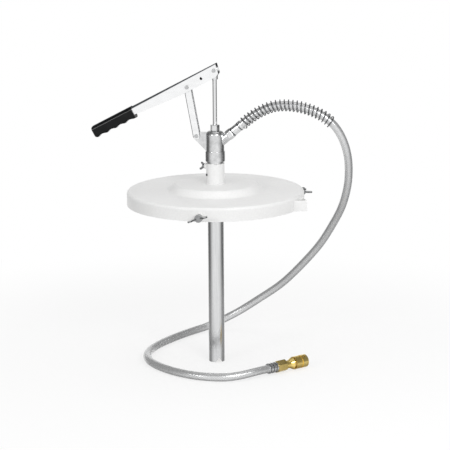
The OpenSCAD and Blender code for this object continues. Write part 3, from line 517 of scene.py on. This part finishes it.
def grip_rubber():
    s = Shader("grip_rubber", grey(0.006, 0.001), 0.13, Specular_IOR_Level=0.16)
    s.colour(s.noise(60, 4), (0.3, grey(0.004, 0.001)), (0.7, grey(0.009, 0.001)))
    s.rough(s.noise(90, 4), 0.1, 0.16)
    s.bump(s.noise(900, 2), 0.05, 0.0003)
    return s.material


def seal_rubber():
    s = Shader("seal_rubber", grey(0.03, 0), 0.6)
    s.colour(s.noise(90, 3), (0.3, grey(0.02, 0)), (0.7, grey(0.045, 0)))
    s.bump(s.noise(700, 2), 0.15, 0.0003)
    return s.material


def braided_hose():
    """A clear glossy wall over a braid: two families of pale threads cross over the darker inner tube."""
    s = Shader("braided_hose", grey(0.8), 0.3, 0.68, Coat_Weight=0.6, Coat_Roughness=0.18)
    uv = s.node("ShaderNodeUVMap", uv_map="along")
    split = s.node("ShaderNodeSeparateXYZ")
    s.link(uv.outputs["UV"], split.inputs["Vector"])
    lead, starts, braid_share, cloud_share = 0.034, 12, 0.7, 0.4
    along = s.math("MULTIPLY", split.outputs["X"], starts / lead)
    turn = s.math("MULTIPLY", split.outputs["Y"], starts)
    threads = []
    for way in ("ADD", "SUBTRACT"):
        threads.append(s.math("SINE", s.math("MULTIPLY", s.math(way, along, turn), 2 * math.pi)))
    braid = s.math("MAXIMUM", *threads)
    cloud = s.noise(35, 3)
    mixed = s.math(
        "ADD", s.math("MULTIPLY", braid, braid_share), s.math("MULTIPLY", cloud, cloud_share)
    )
    s.colour(mixed, (0.1, grey(0.47)), (0.5, grey(0.68)), (0.9, grey(0.89)))
    s.rough(s.noise(120, 3), 0.22, 0.34)
    s.bump(braid, 0.12, 0.0005)
    return s.material


PAINT = white_paint()
ZINC = metal("bright_zinc", grey(0.72), grey(0.84), (0.14, 0.26))
SCREW = metal("screw_zinc", grey(0.25), grey(0.4), (0.12, 0.24), size=150)
LEVER = lever_plate()
LINK = link_plate()
WIRE = metal("guard_steel", grey(0.13), grey(0.22), (0.14, 0.26), size=200)
BLACK = metal("black_steel", grey(0.02), grey(0.05), (0.35, 0.55), size=300)
CAST = metal("cast_metal", grey(0.55), grey(0.82), (0.12, 0.22), size=90, grain=420, depth=0.25)
TUBE = drawn_tube()
CHROME = chrome_rod()
PIN = metal("pin_steel", grey(0.5), grey(0.58), (0.3, 0.4))
BRASS = metal("turned_brass", (0.96, 0.68, 0.19), (1.0, 0.79, 0.3), (0.18, 0.3))
ADAPTER = metal("adapter_brass", (0.66, 0.5, 0.17), (0.82, 0.63, 0.24), (0.14, 0.26))
GRIP = grip_rubber()
SEAL = seal_rubber()
HOSE = braided_hose()

SCREWS = "collar_screw rim_screw_front rim_screw_right rim_screw_left"
LINK_BARS = "link_bar_front link_bar_rear"
PINS = "rod_pin fulcrum_pin link_pin"

FINISH = {
    PAINT: "lid lid_collar collar_boss rim_bosses nozzle_pocket",
    ZINC: "packing_nut outlet_nipple hose_ferrule end_ferrule coupler_spring rod_head fulcrum_spacer",
    SCREW: SCREWS,
    LEVER: "lever_arm_channel",
    LINK: LINK_BARS,
    BLACK: "grub_screw",
    CAST: "pump_head",
    TUBE: "suction_tube tube_foot",
    CHROME: "piston_rod piston_ball foot_valve_ball coupler_balls",
    PIN: PINS,
    BRASS: "foot_valve_seat foot_valve_cage gland_washer piston_body piston_nut coupler_body"
    " coupler_sleeve",
    ADAPTER: "hex_adapter",
    GRIP: "grip",
    SEAL: "tube_seal gland_packing coupler_seal piston_cup",
}


def paint(obj, material):
    obj.data.materials.clear()
    obj.data.materials.append(material)


for material, names in FINISH.items():
    for name in names.split():
        paint(NODES[name], material)
paint(hose, HOSE)
paint(guard, WIRE)
# The crimp rings take the dark guard steel; at the outlet this also paints the shade of grooves at the
# ferrule's joints.
for ring in crimp_rings:
    paint(ring, WIRE)


# Softened edges and the weld at the collar's foot

WELD_GAP = 1e-6
FLAT_ANGLE = math.radians(0.5)
SHARP_ANGLE = math.radians(38)


def soften(names, width, segments=2):
    """Rounds the sharp edges of some nodes by modifiers, which leave their meshes as they are."""
    for name in names.split():
        stack = NODES[name].modifiers
        stack.new("weld", "WELD").merge_threshold = WELD_GAP
        flat = stack.new("flat", "DECIMATE")
        flat.decimate_type = "DISSOLVE"
        flat.angle_limit = FLAT_ANGLE
        edge = stack.new("edge", "BEVEL")
        edge.limit_method = "ANGLE"
        edge.angle_limit = SHARP_ANGLE
        edge.width = width
        edge.segments = segments
        stack.new("normals", "WEIGHTED_NORMAL").keep_sharp = True


soften("grip", width=0.0022, segments=4)
soften(f"lever_arm_channel {LINK_BARS}", width=0.0011, segments=4)
soften(PINS, width=0.0009, segments=3)
soften(SCREWS, width=0.0005)
soften("packing_nut outlet_nipple hex_adapter pump_head rod_head", width=0.0006)
soften("hose_ferrule end_ferrule coupler_body coupler_sleeve", width=0.0004)
soften("nozzle_pocket rim_bosses collar_boss", width=0.0006)

WELD_R, WELD_Z, WELD_SIZE = 0.0172, 0.0140, 0.0011
WELD_SIDES, WELD_RIPPLE = 180, (60, 0.0001)
weld_profile = bead(WELD_R, WELD_Z, WELD_SIZE)
weld_bead = turned("collar_weld", Matrix(), weld_profile, WELD_SIDES, "lid", WELD_RIPPLE)
paint(weld_bead, PAINT)


# Floor, light and background


def add_floor():
    """A pale disc under the object that fades out into the white background."""
    radius, segments, below = 0.95, 96, 0.0005
    fade_from, fade_to, fade_least = 0.35, 0.93, 0.72
    bm = bmesh.new()
    bmesh.ops.create_circle(bm, cap_ends=True, segments=segments, radius=radius)
    bmesh.ops.translate(bm, verts=bm.verts, vec=(0, 0, FLOOR_Z - below))
    mesh = bpy.data.meshes.new("floor")
    bm.to_mesh(mesh)
    bm.free()
    floor = bpy.data.objects.new("floor", mesh)
    bpy.context.scene.collection.objects.link(floor)
    s = Shader("floor", (0.97, 0.97, 0.97), 0.9, Specular_IOR_Level=0.0)
    s.colour(s.noise(2, 2), (0.3, (0.965, 0.965, 0.965)), (0.7, (0.975, 0.975, 0.975)))
    reach = s.node("ShaderNodeVectorMath", operation="LENGTH")
    s.link(s.place(scale=(1, 1, 0)), reach.inputs[0])
    fade = s.node(
        "ShaderNodeMapRange",
        interpolation_type="SMOOTHSTEP",
        From_Min=fade_from,
        From_Max=fade_to,
        To_Min=fade_least,
    )
    s.link(reach.outputs["Value"], fade.inputs["Value"])
    clear = s.node("ShaderNodeBsdfTransparent")
    white = s.node("ShaderNodeEmission", Strength=1.0)
    rays = s.node("ShaderNodeLightPath")
    far = s.node("ShaderNodeMixShader")
    s.link(rays.outputs["Is Camera Ray"], far.inputs["Fac"])
    s.link(clear.outputs[0], far.inputs[1])
    s.link(white.outputs[0], far.inputs[2])
    mix = s.node("ShaderNodeMixShader")
    s.link(fade.outputs["Result"], mix.inputs["Fac"])
    s.link(s.bsdf.outputs[0], mix.inputs[1])
    s.link(far.outputs[0], mix.inputs[2])
    s.link(mix.outputs[0], s.tree.nodes["Material Output"].inputs["Surface"])
    mesh.materials.append(s.material)


def add_area(name, at, aim, side, energy):
    """A square lamp at a point, aimed at another."""
    data = bpy.data.lights.new(name, "AREA")
    data.shape = "RECTANGLE"
    data.size, data.size_y = side, side
    data.energy = energy
    lamp = bpy.data.objects.new(name, data)
    lamp.location = at
    lamp.rotation_euler = (Vector(aim) - Vector(at)).to_track_quat("-Z", "Y").to_euler()
    bpy.context.scene.collection.objects.link(lamp)


def add_world():
    """White before and behind the object and dark at the sides and above, which gives metal its shape."""
    world = bpy.data.worlds.new("studio")
    bpy.context.scene.world = world
    world.use_nodes = True
    tree = world.node_tree
    tree.nodes.clear()

    def node(kind, *sources, **settings):
        made = tree.nodes.new(kind)
        for key, value in settings.items():
            setattr(made, key, value)
        for source, socket in zip(sources, made.inputs):
            if hasattr(source, "is_output"):
                tree.links.new(source, socket)
            else:
                socket.default_value = source
        return made

    def greys(factor, *stops):
        made = node("ShaderNodeValToRGB", factor)
        fill_ramp(made, [(at, (value, value, value)) for at, value in stops])
        return made.outputs["Color"]

    white = (1, 1, 1, 1)
    soft_strength, plain_strength = 0.62, 1.0
    low_edge, high_edge = -0.03, 0.06
    front = (math.sin(FRONT_TURN), -math.cos(FRONT_TURN), 0.0)
    spot = node("ShaderNodeTexCoord").outputs["Generated"]
    facing = node("ShaderNodeVectorMath", spot, front, operation="DOT_PRODUCT").outputs["Value"]
    height = node("ShaderNodeSeparateXYZ", spot).outputs["Z"]
    turn = node("ShaderNodeMapRange", facing, -1.0, 1.0).outputs["Result"]
    rise = node("ShaderNodeMapRange", height, low_edge, high_edge).outputs["Result"]
    low = greys(turn, (0.0, 1.0), (0.07, 0.95), (0.16, 0.12), (0.5, 0.15), (0.76, 0.75), (0.92, 0.97))
    high = greys(turn, (0.0, 0.95), (0.03, 0.85), (0.09, 0.22), (0.5, 0.18), (0.8, 0.3), (0.95, 0.92))
    mixed = node("ShaderNodeMix", data_type="RGBA")
    tree.links.new(rise, mixed.inputs["Factor"])
    tree.links.new(low, mixed.inputs["A"])
    tree.links.new(high, mixed.inputs["B"])
    studio = node("ShaderNodeBackground", mixed.outputs["Result"])
    soft = node("ShaderNodeBackground", white, soft_strength)
    plain = node("ShaderNodeBackground", white, plain_strength)
    rays = node("ShaderNodeLightPath").outputs
    shiny = node("ShaderNodeMixShader", rays["Is Glossy Ray"], soft.outputs[0], studio.outputs[0])
    seen = node("ShaderNodeMath", rays["Is Camera Ray"], rays["Is Transmission Ray"], operation="MAXIMUM")
    mix = node("ShaderNodeMixShader", seen.outputs[0], shiny.outputs[0], plain.outputs[0])
    node("ShaderNodeOutputWorld", mix.outputs[0])


add_floor()
add_area("key", at=(-1.67, -2.51, 1.0), aim=(0, 0, -0.05), side=0.7, energy=14)
add_area("fill", at=(0.9, -1.25, 0.75), aim=(0, 0, 0), side=0.6, energy=9.5)
add_area("top", at=(0.2, 0.2, 2.6), aim=(0, 0, 0), side=2.0, energy=10)
add_world()
bpy.context.scene.view_settings.view_transform = "Standard"
